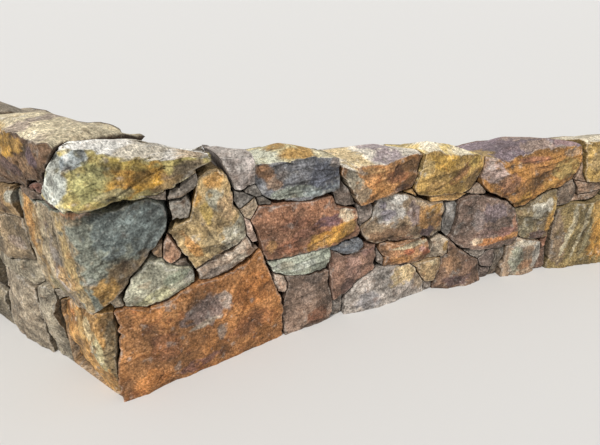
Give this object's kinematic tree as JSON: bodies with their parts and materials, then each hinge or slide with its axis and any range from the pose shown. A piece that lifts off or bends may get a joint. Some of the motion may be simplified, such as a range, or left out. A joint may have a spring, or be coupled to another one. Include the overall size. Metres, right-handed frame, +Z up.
{
  "type": "dry stone wall",
  "caption": "Dry stone retaining wall of irregular field stones: a hollow-curved front, an open corner with a short return wall, flat cap stones and small pinnings.",
  "frame": {"origin": "foot of the outer corner, where the curved front meets the return wall, on the ground", "axes": "+X along the chord of the curved front, -Y towards the viewer, +Y into the bank, +Z up"},
  "size_m": [4.1043, 1.3833, 1.0548],
  "materials": {
    "ochre_stone": "rough split rubble, laid dry",
    "grey_stone": "rough split rubble, laid dry",
    "slate_stone": "rough split rubble, laid dry",
    "brown_stone": "rough split rubble, laid dry",
    "rust_stone": "rough split rubble, laid dry",
    "orange_stone": "rough split rubble, laid dry",
    "green_stone": "rough split rubble, laid dry",
    "teal_stone": "rough split rubble, laid dry",
    "red_stone": "rough split rubble, laid dry",
    "purple_stone": "rough split rubble, laid dry",
    "beige_stone": "rough split rubble, laid dry",
    "pinning_stone": "rough split rubble, laid dry",
    "rear_stone": "rough split rubble, laid dry",
    "packed_rubble": "rough split rubble, laid dry"
  },
  "bodies": {
    "root": {"corner_cap": "ochre_stone", "ochre_cap": "ochre_stone", "yellow_cap": "ochre_stone", "far_cap": "ochre_stone", "upright_cap": "grey_stone", "small_greys": "grey_stone", "grey_foot": "grey_stone", "grey_cube": "grey_stone", "grey_cheek": "grey_stone", "long_block": "grey_stone", "slate_cap": "slate_stone", "blue_slip": "slate_stone", "brown_cap": "brown_stone", "brown_foot": "brown_stone", "rust_foot": "brown_stone", "dark_block": "brown_stone", "purple_cap": "rust_stone", "flat_red": "rust_stone", "tall_block": "rust_stone", "corner_foot": "rust_stone", "great_block": "orange_stone", "green_lens": "green_stone", "pale_slab": "green_stone", "olive_block": "green_stone", "banded_foot": "green_stone", "corner_block": "teal_stone", "red_block": "red_stone", "pink_block": "red_stone", "wedge_slab": "red_stone", "purple_block": "purple_stone", "return_cap": "purple_stone", "beige_foot": "beige_stone", "pale_foot": "beige_stone", "plain_feet": "beige_stone", "plain_blocks": "beige_stone", "front_end_stones": "beige_stone", "return_far_cap": "beige_stone", "return_face": "beige_stone", "return_feet": "beige_stone", "return_end_stones": "beige_stone", "left_pinnings": "pinning_stone", "middle_pinnings": "pinning_stone", "right_pinnings": "pinning_stone", "return_pinnings": "pinning_stone", "rear_first_course": "rear_stone", "rear_second_course": "rear_stone", "rear_third_course": "rear_stone", "rear_top_course": "rear_stone", "hearting": "packed_rubble"}
  },
  "joints": []
}
